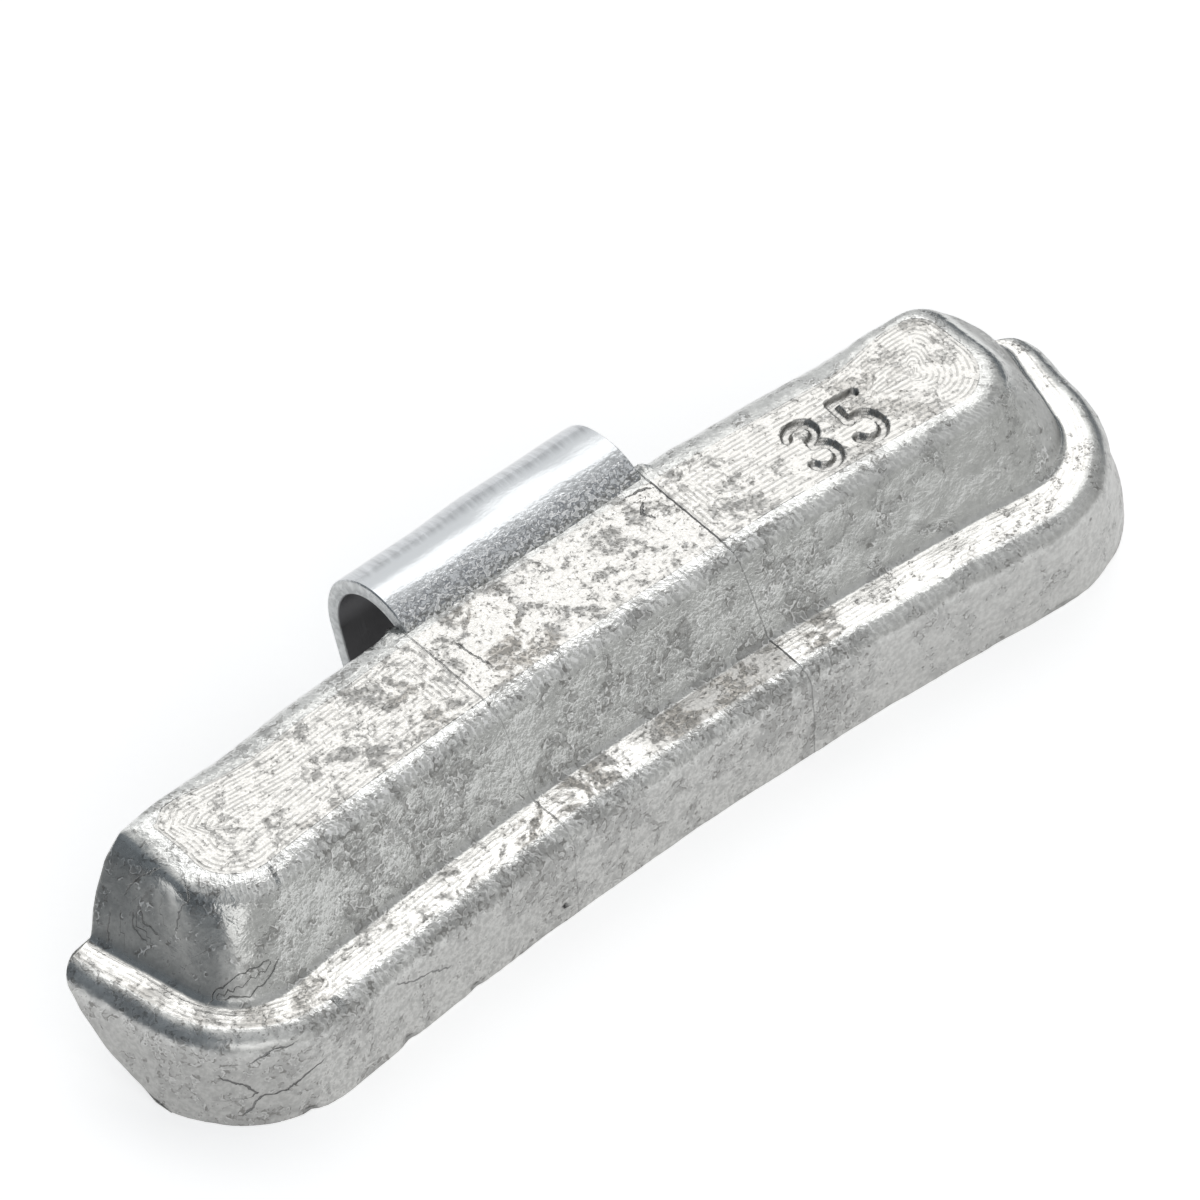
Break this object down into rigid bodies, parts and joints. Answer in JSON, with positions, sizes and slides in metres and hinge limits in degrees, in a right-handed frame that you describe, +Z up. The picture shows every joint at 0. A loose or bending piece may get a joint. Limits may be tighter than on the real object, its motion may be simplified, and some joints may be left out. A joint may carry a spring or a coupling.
{
  "type": "wheel balance weight",
  "caption": "Curved cast bar with a raised ridge and a cast-in spring clip that hooks over a wheel rim's lip to balance the wheel.",
  "frame": {"origin": "on the plane of the flat underside, under the middle of the whole weight's box", "axes": "+X along the rim, +Y away from the wheel's axis to the clip's side, +Z up, which is outwards along the wheel's axis"},
  "size_m": [0.0624, 0.0194, 0.0104],
  "materials": {
    "zinc": "as-cast zinc alloy, satin, with a bright skimmed flat and ledge",
    "steel": "zinc-plated spring steel, bright"
  },
  "bodies": {
    "root": {"cast_body": "zinc", "spring_clip": "steel"}
  },
  "joints": []
}
